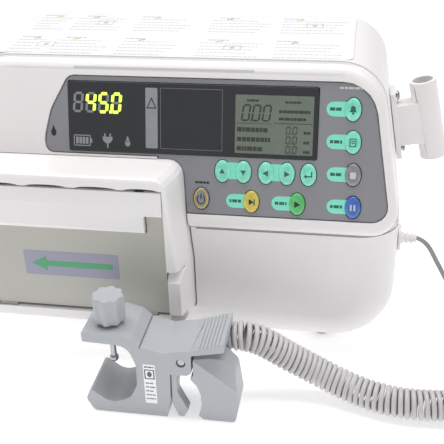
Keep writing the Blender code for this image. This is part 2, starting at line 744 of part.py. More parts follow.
def make_holder():
    """A leaning tube on a block and a base that screws to the right side, for hanging the sensor on."""
    lean = Matrix.Rotation(math.radians(-12.5), 4, "Y")
    at = Matrix.Translation(Vector((101.0, 22, 107)) * MM) @ lean
    post = cylinder("holder_bracket", WHITE, (0, 0, 0), 40, 6.6, "Z", 24)
    post.matrix_world = at
    side = Matrix.Translation(Vector((84.5, 22, 104)) * MM) @ Matrix.Rotation(math.radians(-9.5), 4, "Y")
    base = box("holder_base", WHITE, (0, 2.4), (-8, 8), (-17, 17))
    base.matrix_world = side @ base.matrix_world
    web = box("holder_web", WHITE, (1.5, 14.5), (-5.6, 5.6), (-11, 10))
    web.matrix_world = side @ web.matrix_world
    join(post, base, web)
    bore = cylinder("holder_bore", WHITE, (0, 0, 0), 60, 4.9, "Z", 24)
    bore.matrix_world = at
    cut(post, bore)
    for k, (name, z) in enumerate((("holder_screw_upper", 13.8), ("holder_screw_lower", -13.8))):
        hole = cylinder(f"holder_hole_{k}", WHITE, (0, 0, 0), 12, 1.6, "X", 12)
        hole.matrix_world = side @ Matrix.Translation(Vector((1, 0, z)) * MM) @ AXES["X"]
        cut(post, hole)
        head = [(0, 4.4), (1.5, 4.2), (2.4, 3.4), (2.5, 2.8), (1.2, 2.8), (1.2, 0.3), (0, 0.3)]
        turned(name, STEEL, head, side @ Matrix.Translation(Vector((0, 0, z)) * MM) @ AXES["X"], 12)


def make_gland():
    """The strain relief: a flange on the right side and a ribbed taper round the cord."""
    at = Matrix.Translation(Vector((89.35, -8, 55)) * MM) @ AXES["X"]
    profile = [(1.5, 9.0), (2.3, 9.0)]
    for k in range(3):
        low = 7.4 - 2.2 * k
        profile += [(2.4 + 0.15 * k, low + 0.9), (1.8 + 0.2 * k, low + 0.7), (1.9 + 0.2 * k, low), (2.7 + 0.2 * k, low - 0.2)]
    profile += [(3.1, 1.6), (6.6, 1.4), (6.8, 0.0), (2.2, 0.0), (2.2, -3.5), (1.5, -3.5), (1.5, 9.0)]
    turned("cord_gland", WHITE, profile, at, 14)


# Cord

COIL_END = (18.4, -67.9, 31.8)
LEAD_ROUTE = [
    (91.5, -8.0, 55.0),
    (95.5, -8.0, 55.0),
    (99.5, -8.0, 54.9),
    (104.5, -8.2, 51.0),
    (110.0, -8.8, 41.5),
    (116.0, -9.6, 31.0),
    (123.0, -11.0, 20.0),
    (131.0, -13.4, 10.5),
    (139.0, -17.5, 5.0),
    (145.0, -24.0, 4.2),
    (148.2, -32.0, 6.3),
    (148.8, -37.0, 7.4),
]
COIL_ROUTE = [
    (148.8, -38.0, 7.6),
    (148.0, -48.0, 7.6),
    (144.0, -58.5, 7.6),
    (136.5, -66.5, 7.6),
    (126.0, -72.8, 7.6),
    (112.6, -75.2, 7.6),
    (98.0, -76.0, 7.6),
    (84.0, -74.2, 7.8),
    (70.0, -70.0, 9.2),
    (56.0, -66.4, 13.4),
    (42.0, -66.0, 20.6),
    (30.0, -66.8, 28.4),
    (23.0, -67.8, 31.4),
    COIL_END,
]


def make_cord():
    tube("cord_lead", CORD, smooth_route(LEAD_ROUTE, 2.5 * CORD_DIAMETER), CORD_DIAMETER)
    tube("curly_cord", CORD, smooth_route(COIL_ROUTE, 0.55 * COIL_DIAMETER), COIL_DIAMETER)


# Drop sensor

BODY_OUTLINE = [
    (-48.6, 43.8, 0.8),
    (-34.0, 44.4, 6.0),
    (-26.2, 42.4, 3.0),
    (-21.6, 37.8, 0.5),
    (-12.0, 35.8, 3.0),
    (0.5, 38.0, 3.0),
    (15.6, 43.4, 0.6),
    (15.6, 38.6, 0.6),
    (0.6, 35.4, 0.3),
    (0.6, 26.0, 1.2),
    (-1.6, 24.4, 1.0),
    (-9.2, 24.4, 0.3),
    (-9.7, 10.0, 3.0),
    (-11.6, 0.0, 0.6),
    (-46.4, 0.0, 3.0),
    (-49.8, 6.6, 3.0),
    (-47.4, 12.2, 1.4),
    (-37.6, 5.0, 7.0),
    (-28.2, 9.4, 6.0),
    (-24.8, 17.0, 5.0),
    (-24.6, 28.0, 8.0),
    (-28.0, 38.0, 7.0),
    (-48.4, 38.8, 0.6),
]
JAW_OUTLINE = [
    (1.4, 33.2, 0.6),
    (8.0, 32.4, 1.0),
    (14.5, 30.6, 4.0),
    (19.6, 25.0, 5.0),
    (21.6, 10.0, 8.0),
    (19.8, 0.0, 2.0),
    (5.2, 0.0, 1.2),
    (2.9, 2.0, 0.6),
    (4.6, 8.4, 4.0),
    (4.2, 14.6, 3.0),
    (2.6, 19.0, 2.0),
    (-0.4, 22.6, 0.8),
    (1.4, 24.8, 0.6),
]
ARM_OUTLINE = [
    (-9.0, 24.1, 0.0),
    (-6.2, 24.1, 0.0),
    (-6.4, 14.4, 4.0),
    (-1.8, 4.4, 1.4),
    (-4.0, 0.2, 1.2),
    (-6.4, 0.4, 1.2),
    (-9.2, 8.0, 3.0),
]


def make_sensor():
    body = plate("sensor_body", SENSOR, rounded(BODY_OUTLINE, 4), -SENSOR_BACK_Y, -SENSOR_FRONT_Y, FRONT)
    block = box("cord_block", SENSOR, (3.4, 15.2), (-74.2, SENSOR_BACK_Y - 0.2), (25.4, 39.2))
    neck = cylinder("cord_neck", SENSOR, (13.4, COIL_END[1], COIL_END[2]), 7, 4.0, "X", 20)
    join(body, block, neck)
    fork = box("pivot_fork", SENSOR, (-9.4, 3), (-84.3, -74.7), (22, 35.3))
    cut(body, fork, cylinder("pin_bore", SENSOR, (PIVOT_X, -78, PIVOT_Z), 23.4, 1.3, "Y", 16))
    cut(body, cylinder("pin_sink", SENSOR, (PIVOT_X, -90.6, PIVOT_Z), 3, 2.2, "Y", 16))
    cut(body, cylinder("screw_bore", SENSOR, (KNOB_X, KNOB_Y, 42), 20, 1.9, "Z", 16))
    cut(body, box("top_seam", SENSOR, (-22.4, -21.9), (-95, -60), (37.2, 60)))
    for k in range(6):
        cut(body, box(f"grip_rib_{k}", SENSOR, (4.6 + 1.7 * k, 5.4 + 1.7 * k), (-95, -60), (39.0 + 0.6 * k, 60)))
    jaw = plate("sensor_jaw", SENSOR, rounded(JAW_OUTLINE, 4), 75.6, -SENSOR_FRONT_Y - GAP, FRONT)
    along, back = Vector((0.78, 0, -0.62)), Vector((0, 0.53, 0.85))
    up = along.cross(back).normalized()
    side = up.cross(along).normalized()
    bench = box("jaw_bench", SENSOR, (-40, 40), (-40, 40), (0, 40))
    bench.matrix_world = Matrix.Translation(Vector((7.6, -89.7, 29.4)) * MM) @ Matrix(
        (along, side, up)
    ).transposed().to_4x4() @ bench.matrix_world
    cut(jaw, bench)
    tongue = cylinder("jaw_hub", SENSOR, (PIVOT_X, -79.5, PIVOT_Z), 9, 3.6, "Y", 20)
    web = box("jaw_web", SENSOR, (PIVOT_X, 2.6), (-84, -75), (PIVOT_Z - 3.4, PIVOT_Z + 1.6))
    join(jaw, tongue, web)
    cut(jaw, cylinder("jaw_bore", SENSOR, (PIVOT_X, -78, PIVOT_Z), 30, 1.3, "Y", 16))
    pin = [(0, 12.3), (1.6, 12.3), (1.9, 11.9), (1.9, 11.4), (1.0, 11.4), (1.0, -11.6), (0, -11.6)]
    turned("jaw_pin", STEEL, pin, Matrix.Translation(Vector((PIVOT_X, -78, PIVOT_Z)) * MM) @ AXES["Y"], 16)
    plate("spring_arm", SENSOR, rounded(ARM_OUTLINE, 3), -SENSOR_FRONT_Y - 6, -SENSOR_FRONT_Y - 0.6, FRONT)


def make_clamp():
    """The clamp's fluted knob and its ball-ended screw."""

    def flutes(radius, z):
        turns = [2 * math.pi * k / 48 for k in range(48)]
        return [
            (
                KNOB_X + (radius + 0.55 * math.cos(8 * t)) * math.cos(t),
                KNOB_Y + (radius + 0.55 * math.cos(8 * t)) * math.sin(t),
                z,
            )
            for t in turns
        ]

    knob = loft(
        "clamp_knob",
        SENSOR,
        [flutes(6.6, KNOB_Z0), flutes(6.9, KNOB_Z0 + 2), flutes(7.0, KNOB_Z1 - 0.8), flutes(6.4, KNOB_Z1)],
    )
    cut(knob, cylinder("knob_bore", SENSOR, (KNOB_X, KNOB_Y, 50), 12, 1.75, "Z", 16))
    ball = [(1.4, 55.6), (1.4, 26.2)]
    ball += [(2.2 * math.cos(a), 24.4 + 2.2 * math.sin(a)) for a in [math.radians(d) for d in (50, 25, 0, -25, -50, -70)]]
    profile = [(0, 55.6)] + ball + [(0, 22.2)]
    turned("clamp_screw", STEEL, profile, Matrix.Translation(Vector((KNOB_X, KNOB_Y, 0)) * MM), 16)


make_rear_shell()
make_lower_cover()
make_bezel()
make_panel()
make_display()
make_keys()
make_head()
make_latch()
make_door()
make_handle()
make_mechanism()
make_insides()
make_feet()
make_holder()
make_gland()
make_cord()
make_sensor()
make_clamp()

for made in list(PARTS.objects) + list(CUTTERS.objects):
    made.location.x -= ORIGIN_X * MM
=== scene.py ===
"""Looks of the infusion pump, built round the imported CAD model.

The shared frame has +X to the right seen from the front, +Y to the back, +Z up, and the feet on z = 0. Sizes and
places are given in millimetres, and MM turns them into metres.
"""

import json
import math

import bmesh
import bpy
import numpy as np
from mathutils import Matrix, Vector
from mathutils.bvhtree import BVHTree

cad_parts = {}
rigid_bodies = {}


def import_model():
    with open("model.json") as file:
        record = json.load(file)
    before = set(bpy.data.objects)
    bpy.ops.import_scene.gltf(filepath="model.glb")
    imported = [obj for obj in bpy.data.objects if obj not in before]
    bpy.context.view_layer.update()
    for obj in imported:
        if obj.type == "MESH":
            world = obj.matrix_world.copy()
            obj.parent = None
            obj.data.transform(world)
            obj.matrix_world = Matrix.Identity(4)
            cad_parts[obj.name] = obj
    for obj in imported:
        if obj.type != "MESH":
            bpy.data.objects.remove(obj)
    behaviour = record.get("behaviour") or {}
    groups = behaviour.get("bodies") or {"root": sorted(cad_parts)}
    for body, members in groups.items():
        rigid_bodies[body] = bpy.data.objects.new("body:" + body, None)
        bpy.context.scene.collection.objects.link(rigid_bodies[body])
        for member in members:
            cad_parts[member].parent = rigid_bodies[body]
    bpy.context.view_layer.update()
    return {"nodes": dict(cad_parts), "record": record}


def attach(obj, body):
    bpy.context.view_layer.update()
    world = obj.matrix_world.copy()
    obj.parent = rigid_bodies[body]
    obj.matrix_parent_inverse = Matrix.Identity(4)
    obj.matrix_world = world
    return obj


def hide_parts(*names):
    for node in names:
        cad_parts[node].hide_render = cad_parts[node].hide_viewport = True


MM = 0.001

# The panel leans back from its foot. Its own coordinates are x, s up the panel, and h out of it.
PANEL_Y, PANEL_Z, PANEL_LEAN = -38.0, 72.5, math.radians(14.0)
PANEL_DX = 7.6  # what the panel's own x gains in the shared frame
LENS_H = 0.7  # the display lens stands this proud of the panel
KEY_H = 1.5
KEYS = {
    "key_up": (6.6, 26.0), "key_down": (16.4, 26.0), "key_left": (26.8, 26.0), "key_right": (36.4, 26.0),
    "key_enter": (46.2, 26.0), "key_power": (-3.2, 12.6), "key_yellow": (20.3, 12.2), "key_green": (41.5, 12.1),
    "key_bell": (64.8, 56.2), "key_page": (65.4, 41.6), "key_stop": (66.2, 26.8), "key_blue": (66.8, 11.9),
}
KEY_PAIRS = (("key_up", "key_down"), ("key_left", "key_right"))  # each pair has a mint band behind it
PILLS = ("key_yellow", "key_green", "key_bell", "key_page", "key_stop", "key_blue")  # each has a mint pill beside it

# The figures and the LCD behind the lens, in the panel's coordinates
LED_X, LED_S, LED_HEIGHT, LED_WIDTH, LED_PITCH = -64.2, 51.5, 8.4, 3.7, 6.1
LCD_X0, LCD_X1, LCD_S0, LCD_S1 = 12.2, 47.6, 34.8, 61.4

# The housing's top falls towards the front. Boxes here and below are x0, x1, y0, y1.
TOP_Z, TOP_FALL, TOP_BACK = 150.0, 0.052, 55.0
TOP_LABEL = (-100, 71, -14.2, 46.0)
TOP_LINES, TOP_LINE_STEP = 5, 4.4
TOP_COLUMNS = ((-92, -76), (-72, -45), (-39, -11), (-1, 29), (35, 67))
TOP_ROWS = (43.0, 8.6)

# Flat faces to the front, as distances in front of y = 0, with their labels in the panel's x
DOOR_FACE = 52.2
DOOR_LABEL = (-88.2, -41.1, 47.6, 61.0)
SENSOR_FACE = 91.0
SENSOR_LABEL = (-21.4, -15.9, 7.2, 29.0)
# Dark sheets of painted shade that fill the fingertip slits over the door handle
SLIT_BACK = 50.4
SLIT_BOTTOM, SLIT_RISE = 95.95, 1.1
SLITS = ((-95.0, 19.4), (-71.6, 19.4), (-48.1, 19.4), (-27.4, 15.4))  # middle and width, in the panel's x

# Strips of painted shade along lines moulded into the shells, found by rays that start well outside them
RAY_REACH, LINE_STEP = 80, 5
BROW_Z, LOWER_GROOVE_Z = 141.7, 68.35
LOWER_CORNER = (74, -13)  # middle of the lower cover's right corner

# The collar inside the slit beside the pump head: y and z of its outline, and the x that it lies between
COLLAR = (-27.6, -15.6, 58.0, 92.0)
COLLAR_X = (-109.6, -107.8)

# Camera
CAMERA_AT = (76.6, -374.0, 256.0)
CAMERA_DOWN, CAMERA_TURN, CAMERA_ROLL = 28.0, 10.5, -1.8
CAMERA_LENS = 66.9

# Cord
WIRE = 2.4
COIL_OUTSIDE = 14.3
COIL_PITCH = 2.75
COIL_STEPS = 14  # points in one turn
LEAD_SPACING = 1.2
OPENING_START = (140.0, -17.0)  # the lead starts to open beyond this x and in front of this y
OPENING_LENGTH = 34.0  # over which it opens into the helix
OPENING_SWING = 4.6  # a turn narrower than this is still opening
OPENING_BEND = 0.204  # curvature per millimetre that bounds the opening turns
OPENING_SHARE = 0.85  # of the turning rate that this bend allows
OPENING_FLOOR = 0.9  # keeps the rate finite where the lead is still straight
CLOSING_LENGTH, CLOSING_SWING = 4.0, 0.95  # the last turn draws in by this much
BLOCK_BEND = 5.0  # radius of the wire's turn into the sensor's cord block
WIRE_END_X, WIRE_END_Z = 6.0, 33.5  # inside the block
LEAD_ROUTE = [
    (99.1, -8.0, 55.0),
    (103.1, -8.0, 55.0),
    (107.1, -8.0, 54.9),
    (112.1, -8.2, 51.0),
    (117.6, -8.8, 41.5),
    (123.6, -9.6, 31.0),
    (130.6, -11.0, 20.0),
    (138.6, -13.4, 10.5),
    (146.6, -17.5, 5.0),
    (152.6, -24.0, 4.2),
    (155.8, -32.0, 6.3),
    (156.4, -37.0, 7.4),
]
COIL_ROUTE = [
    (156.4, -38.0, 7.6),
    (155.6, -48.0, 7.6),
    (151.6, -58.5, 7.6),
    (144.1, -66.5, 7.6),
    (133.6, -72.8, 7.6),
    (120.2, -75.2, 7.6),
    (105.6, -76.0, 7.6),
    (91.6, -74.2, 7.8),
    (77.6, -70.0, 9.2),
    (63.6, -66.4, 13.4),
    (49.6, -66.0, 20.6),
    (37.6, -66.8, 28.4),
    (30.6, -67.8, 31.4),
    (26.0, -67.9, 31.8),
    (22.4, -67.9, 31.8),
]

# Studio, in metres and watts: each light's place, aim, size and power
LIGHTS = {
    "key_light": ((0.55, -0.75, 0.95), (0, 0, 0.06), (0.7, 0.7), 0.55),
    "fill_light": ((-0.9, -0.6, 0.7), (0, 0, 0.06), (0.9, 0.9), 0.65),
    "top_light": ((0.0, 0.06, 1.10), (0, 0.0, 0.08), (1.3, 0.5), 10.4),
}
WORLD_STRENGTH = 0.39
FLOOR_HALF = 30.0
FLOOR_DROP = 0.0004  # keeps the floor just clear of the feet and the coil

# How each visible CAD node is rounded: edge width, segments, and the angle in degrees from which a corner is an edge
EDGES = {
    "rear_shell": (0.9, 3, 40), "front_bezel": (0.45, 3, 35), "lower_front_cover": (0.45, 3, 35),
    "keypad_panel": (0.12, 2, 50), "display_lens": (0.15, 2, 50), "door_frame": (0.3, 3, 18),
    "door_cover": (0.35, 3, 35), "door_handle": (0.25, 3, 12), "door_latch": (0.3, 3, 25),
    "holder_bracket": (0.35, 3, 35), "holder_screw_upper": (0.2, 2, 35), "holder_screw_lower": (0.2, 2, 35),
    "sensor_body": (0.5, 3, 35), "sensor_jaw": (0.4, 3, 35), "spring_arm": (0.35, 2, 35),
    "clamp_knob": (0.35, 2, 35), "clamp_screw": (0.1, 2, 50), "cord_gland": (0.3, 2, 35),
    "foot_front_left": (0.4, 2, 35), "foot_front_right": (0.4, 2, 35), "foot_rear_left": (0.4, 2, 35),
    "foot_rear_right": (0.4, 2, 35), "mains_inlet": (0.3, 2, 35), "jaw_pin": (0.1, 2, 35),
    "door_platen": (0.2, 2, 35), "air_detector": (0.2, 2, 35), "finger_block": (0.2, 2, 35),
    "handle_pin": (0.1, 2, 35), "door_hinge_pin": (0.1, 2, 35),
}
KEY_EDGE = (0.9, 4, 20)
FINGER_EDGE = (0.15, 2, 35)

for old in list(bpy.data.objects):
    bpy.data.objects.remove(old, do_unlink=True)

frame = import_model()
NODES = frame["nodes"]
BODY_OF = {n: body for body, names in frame["record"]["behaviour"]["bodies"].items() for n in names}
SLOT_OF = {row["node"]: row["material_slot"] for row in frame["record"]["subparts"]}

PANEL = Matrix.Translation(Vector((0, PANEL_Y, PANEL_Z)) * MM) @ Matrix.Rotation(
    math.radians(90) - PANEL_LEAN, 4, "X"
)
FRONT = Matrix.Rotation(math.radians(90), 4, "X")  # x to the right, y up, z to the front
SIDEWAYS = Matrix(((0, 0, 1, 0), (1, 0, 0, 0), (0, 1, 0, 0), (0, 0, 0, 1)))  # y to the back, z up, x to the right
TOP = Matrix.Translation(Vector((0, 0, TOP_Z - TOP_FALL * TOP_BACK)) * MM) @ Matrix.Rotation(
    math.atan(TOP_FALL), 4, "X"
)


# Materials


def srgb(r, g, b):
    """A linear colour from 0 to 255 display values."""

    def linear(c):
        c /= 255
        return c / 12.92 if c <= 0.04045 else ((c + 0.055) / 1.055) ** 2.4

    return (linear(r), linear(g), linear(b), 1.0)


def shade(colour, share):
    """A darker tone of a colour."""
    return tuple(c * share for c in colour[:3]) + (1.0,)


class Nodes:
    """Adds nodes to one material and links them."""

    def __init__(self, name):
        self.material = bpy.data.materials.new(name)
        self.material.use_nodes = True
        self.tree = self.material.node_tree
        self.shader = self.tree.nodes["Principled BSDF"]
        self.where = self.add("ShaderNodeTexCoord").outputs["Object"]

    def add(self, kind):
        return self.tree.nodes.new(kind)

    def link(self, a, b):
        self.tree.links.new(a, b)

    def noise(self, scale, detail=3.0, rough=0.5, stretch=None):
        node = self.add("ShaderNodeTexNoise")
        node.inputs["Scale"].default_value = scale
        node.inputs["Detail"].default_value = detail
        node.inputs["Roughness"].default_value = rough
        source = self.where
        if stretch:
            mapping = self.add("ShaderNodeMapping")
            mapping.inputs["Scale"].default_value = stretch
            self.link(source, mapping.inputs["Vector"])
            source = mapping.outputs["Vector"]
        self.link(source, node.inputs["Vector"])
        return node.outputs["Fac"]

    def ramp(self, source, low, high, at=(0.35, 0.65)):
        """A colour that runs from low to high as the source passes the two places."""
        node = self.add("ShaderNodeValToRGB")
        node.color_ramp.elements[0].position, node.color_ramp.elements[1].position = at
        node.color_ramp.elements[0].color = low
        node.color_ramp.elements[1].color = high
        self.link(source, node.inputs["Fac"])
        return node.outputs["Color"]

    def span(self, source, low, high, start=0.3, end=0.7):
        """A value that runs from low to high as the source runs from start to end."""
        node = self.add("ShaderNodeMapRange")
        node.inputs["From Min"].default_value = start
        node.inputs["From Max"].default_value = end
        node.inputs["To Min"].default_value = low
        node.inputs["To Max"].default_value = high
        self.link(source, node.inputs["Value"])
        return node.outputs["Result"]

    def bump(self, source, strength, distance=0.0002):
        node = self.add("ShaderNodeBump")
        node.inputs["Strength"].default_value = strength
        node.inputs["Distance"].default_value = distance
        self.link(source, node.inputs["Height"])
        self.link(node.outputs["Normal"], self.shader.inputs["Normal"])

    def set(self, **values):
        for key, value in values.items():
            self.shader.inputs[key.replace("_", " ")].default_value = value


def moulded(name, colour, rough, grain, depth, coat=0.0, soft=0.0, tint=0.97):
    """Moulded plastic: a fine spark-eroded grain, and a slight unevenness of gloss and tone."""
    m = Nodes(name)
    m.link(m.ramp(m.noise(22, 4.0), shade(colour, tint), colour), m.shader.inputs["Base Color"])
    m.link(m.span(m.noise(60, 5.0), *rough), m.shader.inputs["Roughness"])
    m.bump(m.noise(grain, 2.0), depth)
    m.set(Coat_Weight=coat, Coat_Roughness=0.12)
    if soft:
        m.set(Subsurface_Weight=soft, Subsurface_Scale=0.002)
    return m.material


def ink(name, colour):
    """Matt print on plastic."""
    return moulded(name, colour, (0.4, 0.5), 2600, 0.05)


def groove(name, colour):
    """Painted shade on the wall of a line in the moulding: the housing's white toned down to grey."""
    return moulded(name, colour, (0.5, 0.7), 1200, 0.1)


def glossy(name, colour, roughness, coat, glow=0.0, tint=0.94):
    """Smooth clear-coated plastic, which may also be lit from behind."""
    m = Nodes(name)
    m.link(m.ramp(m.noise(180, 3.0), shade(colour, tint), colour), m.shader.inputs["Base Color"])
    m.link(m.span(m.noise(90, 4.0), roughness * 0.85, roughness * 1.25), m.shader.inputs["Roughness"])
    m.set(Coat_Weight=coat, Coat_Roughness=0.06)
    if glow:
        m.set(Emission_Color=colour, Emission_Strength=glow)
    return m.material


def key_look(name, colour):
    """A translucent key cap: colour deep in clear plastic under a polished crown."""
    m = Nodes(name)
    m.link(m.ramp(m.noise(300, 2.0), shade(colour, 0.82), colour), m.shader.inputs["Base Color"])
    m.set(Roughness=0.22, Coat_Weight=1.0, Coat_Roughness=0.04, Subsurface_Weight=0.35, Subsurface_Scale=0.0015)
    m.bump(m.noise(900, 2.0), 0.05)
    return m.material


def steel_look():
    """Brushed steel, with the brush marks along z."""
    m = Nodes("steel_plain")
    colour = srgb(176, 178, 182)
    brushed = m.noise(900, 3.0, 0.6, (1, 1, 40))
    m.link(m.ramp(brushed, shade(colour, 0.8), colour), m.shader.inputs["Base Color"])
    m.link(m.span(brushed, 0.18, 0.34), m.shader.inputs["Roughness"])
    m.bump(brushed, 0.08, 0.00005)
    m.set(Metallic=1.0)
    return m.material


def cord_look():
    """Soft sheath, darker on the thin lead than on the coil."""
    m = Nodes("cord_sheath")
    parts = m.add("ShaderNodeSeparateXYZ")
    m.link(m.where, parts.inputs["Vector"])
    along = m.span(parts.outputs["Y"], 0.0, 1.0, -0.040, -0.030)
    tone = m.ramp(along, srgb(200, 197, 198), srgb(150, 149, 147), (0.0, 1.0))
    m.link(tone, m.shader.inputs["Base Color"])
    m.link(m.span(m.noise(240, 4.0), 0.36, 0.5), m.shader.inputs["Roughness"])
    m.bump(m.noise(2400, 2.0), 0.1)
    return m.material


def floor_look():
    """A pale floor that glows a little, so that it stays white far from the lights."""
    made = moulded("studio_floor", srgb(246, 246, 247), (0.7, 0.85), 120, 0.02, tint=0.995)
    shader = made.node_tree.nodes["Principled BSDF"]
    shader.inputs["Emission Color"].default_value = (1, 1, 1, 1)
    shader.inputs["Emission Strength"].default_value = 0.42
    return made


# One look for each of the record's material slots
LOOKS = {
    "housing": moulded("housing_white", srgb(241, 238, 238), (0.30, 0.40), 1900, 0.10, soft=0.06),
    "panel_grey": moulded("panel_film", srgb(143, 143, 148), (0.42, 0.54), 3200, 0.22, tint=0.96),
    "lens": glossy("display_lens", srgb(38, 41, 44), 0.10, 1.0, tint=0.9),
    "black_plastic": moulded("black_plastic", srgb(34, 34, 36), (0.4, 0.55), 1800, 0.2),
    "lcd": glossy("lcd_glass", srgb(104, 114, 103), 0.2, 0.6),
    "board": moulded("circuit_board", srgb(22, 92, 48), (0.3, 0.5), 700, 0.3),
    "door_beige": moulded("door_beige", srgb(188, 187, 179), (0.40, 0.52), 2200, 0.16),
    "steel": steel_look(),
    "rubber": moulded("rubber_grey", srgb(150, 150, 148), (0.6, 0.8), 1200, 0.4, tint=0.9),
    "battery": moulded("battery_sleeve", srgb(52, 84, 150), (0.25, 0.35), 900, 0.1),
    "sensor_grey": moulded("sensor_grey", srgb(182, 185, 189), (0.36, 0.48), 2000, 0.14, tint=0.96),
    "cord": cord_look(),
    "finger": moulded("finger_white", srgb(225, 225, 222), (0.3, 0.4), 1500, 0.1),
    "key_mint": key_look("key_mint", srgb(142, 238, 210)),
    "key_yellow": key_look("key_yellow", srgb(224, 204, 92)),
    "key_green": key_look("key_green", srgb(96, 206, 120)),
    "key_blue": key_look("key_blue", srgb(70, 118, 200)),
    "key_clear": key_look("key_clear", srgb(150, 150, 154)),
}

# Prints on the panel, the keys and the labels
MINT_PRINT = moulded("print_mint", srgb(138, 236, 208), (0.35, 0.45), 2600, 0.1)
MARK_GREEN = ink("print_mark_green", srgb(44, 104, 94))
MARK_DARK = ink("print_mark_dark", srgb(38, 42, 44))
MARK_SLATE = ink("print_mark_slate", srgb(92, 94, 108))
MARK_PALE = ink("print_mark_pale", srgb(204, 208, 208))
TOP_FAINT = ink("print_mark_faint", srgb(206, 207, 209))
TOP_SIGNS = ink("print_mark_soft", srgb(196, 197, 199))
TOP_GREEN = ink("print_mark_leaf", srgb(150, 186, 150))
TOP_GOLD = ink("print_mark_gold", srgb(208, 200, 150))
LABEL_WHITE = moulded("label_white", srgb(249, 249, 249), (0.22, 0.3), 2600, 0.04, coat=0.3)
STICKER = moulded("sticker_lilac", srgb(158, 158, 178), (0.3, 0.4), 2600, 0.05)
ARROW = moulded("sticker_green", srgb(84, 168, 118), (0.3, 0.4), 2600, 0.05)
RING_GOLD = glossy("ring_yellow", srgb(206, 180, 84), 0.25, 0.5)

# Painted shade in the lines of the moulding
GROOVE_SHADE_DARK = groove("groove_shade_dark", srgb(150, 146, 144))
GROOVE_SHADE_SOFT = groove("groove_shade_soft", srgb(198, 195, 197))
GROOVE_SHADE_FAINT = groove("groove_shade_faint", srgb(224, 221, 222))

# The displays
LED_LIT = glossy("led_lit", srgb(206, 248, 84), 0.3, 0.0, glow=1.25)
LED_OFF = glossy("led_unlit", srgb(138, 142, 144), 0.3, 0.2)
GLASS_GREY = glossy("lens_print_grey", srgb(112, 114, 120), 0.2, 0.8)
GLASS_DEEP = glossy("lens_print_deep", srgb(38, 40, 43), 0.08, 1.0)
LENS_SIGNS = glossy("lens_signs", srgb(150, 154, 156), 0.3, 0.3)
LENS_BAR = glossy("lens_bar", srgb(150, 152, 158), 0.3, 0.4)
LCD_GLASS = glossy("lcd_face", srgb(112, 122, 110), 0.24, 0.7)
LCD_INK = glossy("lcd_ink", srgb(54, 62, 56), 0.3, 0.4)


# Mesh tools


def finished(name, bm, look, body, smooth=35, matrix=Matrix.Identity(4)):
    """The mesh as a piece that rides on a body, smooth up to the given angle."""
    mesh = bpy.data.meshes.new(name)
    bmesh.ops.recalc_face_normals(bm, faces=bm.faces)
    bm.to_mesh(mesh)
    bm.free()
    made = bpy.data.objects.new(name, mesh)
    bpy.context.scene.collection.objects.link(made)
    made.matrix_world = matrix
    mesh.shade_smooth()
    mesh.set_sharp_from_angle(angle=math.radians(smooth))
    mesh.materials.append(look)
    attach(made, body)
    return made


def refine(node, edge, segments, angle):
    """A finer copy of a CAD node that stands for it: welded, its flats joined, and every corner rounded."""
    bm = bmesh.new()
    bm.from_mesh(NODES[node].data)
    bmesh.ops.remove_doubles(bm, verts=bm.verts, dist=2e-6)
    bmesh.ops.dissolve_limit(bm, angle_limit=math.radians(0.6), verts=bm.verts, edges=bm.edges)
    made = finished(node + "_finish", bm, LOOKS[SLOT_OF[node]], BODY_OF[node], smooth=angle)
    bevel = made.modifiers.new("soft_edges", "BEVEL")
    bevel.width = edge * MM
    bevel.segments = segments
    bevel.limit_method = "ANGLE"
    bevel.angle_limit = math.radians(angle)
    bevel.use_clamp_overlap = True
    bevel.harden_normals = True
    normals = made.modifiers.new("even_normals", "WEIGHTED_NORMAL")
    normals.keep_sharp = True
    normals.weight = 80
    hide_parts(node)


def dress(node):
    """A CAD node shown as it is, with its finished material."""
    mesh = NODES[node].data
    mesh.materials.clear()
    mesh.materials.append(LOOKS[SLOT_OF[node]])


def finish_nodes():
    """Every CAD node is painted, and those that can be seen are rounded too."""
    for node in NODES:
        dress(node)
    for node, edge in EDGES.items():
        refine(node, *edge)
    for node in NODES:
        if node.startswith("key_"):
            refine(node, *KEY_EDGE)
    for node in NODES:
        if node.startswith("finger_") and node != "finger_block":
            refine(node, *FINGER_EDGE)


# Outlines: lists of corners in millimetres, and lists of such outlines for what has several parts


def bar(x, y, width, height, turn=0.0):
    """A rectangle round its middle, turned by some degrees."""
    c, s = math.cos(math.radians(turn)), math.sin(math.radians(turn))
    corners = ((-width / 2, -height / 2), (width / 2, -height / 2), (width / 2, height / 2), (-width / 2, height / 2))
    return [(x + c * a - s * b, y + s * a + c * b) for a, b in corners]


def capsule(x0, x1, y, height, steps=8):
    """A rounded bar from x0 to x1."""
    r = height / 2
    turns = [math.radians(-90 + 180 * k / steps) for k in range(steps + 1)]
    right = [(x1 - r + r * math.cos(a), y + r * math.sin(a)) for a in turns]
    left = [(x0 + r - r * math.cos(a), y - r * math.sin(a)) for a in turns]
    return right + left


def rounded_box(x0, x1, y0, y1, r, steps=4):
    points = []
    for cx, cy, start in ((x1 - r, y0 + r, -90), (x1 - r, y1 - r, 0), (x0 + r, y1 - r, 90), (x0 + r, y0 + r, 180)):
        for k in range(steps + 1):
            a = math.radians(start + 90 * k / steps)
            points.append((cx + r * math.cos(a), cy + r * math.sin(a)))
    return points


def oval(x, y, rx, ry, steps):
    turns = [2 * math.pi * k / steps for k in range(steps)]
    return [(x + rx * math.cos(a), y + ry * math.sin(a)) for a in turns]


def stroke(points, width):
    """Rectangles along a broken line."""
    shapes = []
    for (x0, y0), (x1, y1) in zip(points, points[1:]):
        length = math.hypot(x1 - x0, y1 - y0) + width * 0.6
        turn = math.degrees(math.atan2(y1 - y0, x1 - x0))
        shapes.append(bar((x0 + x1) / 2, (y0 + y1) / 2, length, width, turn))
    return shapes


def box_line(x0, x1, y0, y1, width):
    """A box drawn as a line."""
    return stroke([(x0, y0), (x1, y0), (x1, y1), (x0, y1), (x0, y0)], width)


